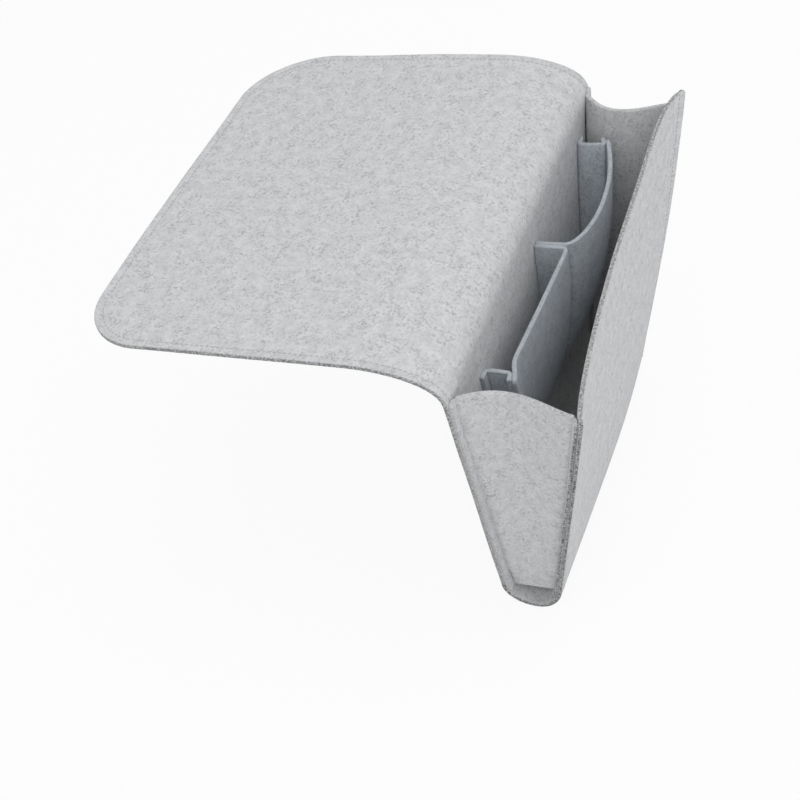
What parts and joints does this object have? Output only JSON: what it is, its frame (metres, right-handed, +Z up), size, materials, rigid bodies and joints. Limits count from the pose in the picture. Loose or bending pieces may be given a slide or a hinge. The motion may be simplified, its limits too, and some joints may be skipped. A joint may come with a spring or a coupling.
{
  "type": "bedside caddy",
  "caption": "Grey felt bedside caddy: a flap that lies on the mattress, a soft shoulder and a tapering hanging pouch with end gussets, inner pockets and cable outlets.",
  "frame": {"origin": "centre of the flat underside of the flap, where it lies on the mattress", "axes": "+X along the bed towards the phone pocket's end, +Y away from the bed towards the front of the pouch, +Z up"},
  "size_m": [0.3205, 0.3224, 0.2478],
  "materials": {
    "felt": "light heather-grey pressed felt, 3 mm, matt and fibrous with speckled raw edges",
    "pocket_felt": "the same felt on the inner pockets, in the pouch's shade"
  },
  "bodies": {
    "flap": {"mattress_flap": "felt", "shoulder_bend": "felt"},
    "pouch": {"back_panel": "felt", "bottom_fold": "felt", "right_gusset": "felt", "left_gusset": "felt", "phone_pocket_gusset": "pocket_felt", "phone_pocket_divider": "pocket_felt", "bottle_pocket_gusset": "pocket_felt", "bottle_pocket_divider": "pocket_felt"},
    "front": {"front_panel": "felt"},
    "phone_wall": {"phone_pocket_wall": "pocket_felt"},
    "bottle_wall": {"bottle_pocket_wall": "pocket_felt"}
  },
  "joints": [
    {"name": "shoulder_fold", "type": "hinge", "parent": "flap", "child": "pouch", "pos_m": [0, 0.142, -0.006], "axis": [1, 0, 0], "range_deg": [-80, 90], "stiffness_Nm_per_rad": 0.4, "springref_deg": 5.16, "deforming": ["shoulder_bend"]},
    {"name": "mouth_open", "type": "hinge", "parent": "pouch", "child": "front", "pos_m": [0, 0.1625, -0.241], "axis": [-1, 0, 0], "range_deg": [-4, 4], "stiffness_Nm_per_rad": 1, "springref_deg": -0.97, "deforming": ["bottom_fold", "right_gusset", "left_gusset"]},
    {"name": "phone_pocket_open", "type": "hinge", "parent": "pouch", "child": "phone_wall", "pos_m": [0, 0.1485, -0.165], "axis": [-1, 0, 0], "range_deg": [-4, 5], "stiffness_Nm_per_rad": 0.2, "springref_deg": -0.43, "deforming": ["phone_pocket_gusset", "phone_pocket_divider"]},
    {"name": "bottle_pocket_open", "type": "hinge", "parent": "pouch", "child": "bottle_wall", "pos_m": [0, 0.1485, -0.165], "axis": [-1, 0, 0], "range_deg": [-5, 3], "stiffness_Nm_per_rad": 0.2, "springref_deg": -0.69, "deforming": ["bottle_pocket_gusset", "bottle_pocket_divider"]}
  ]
}
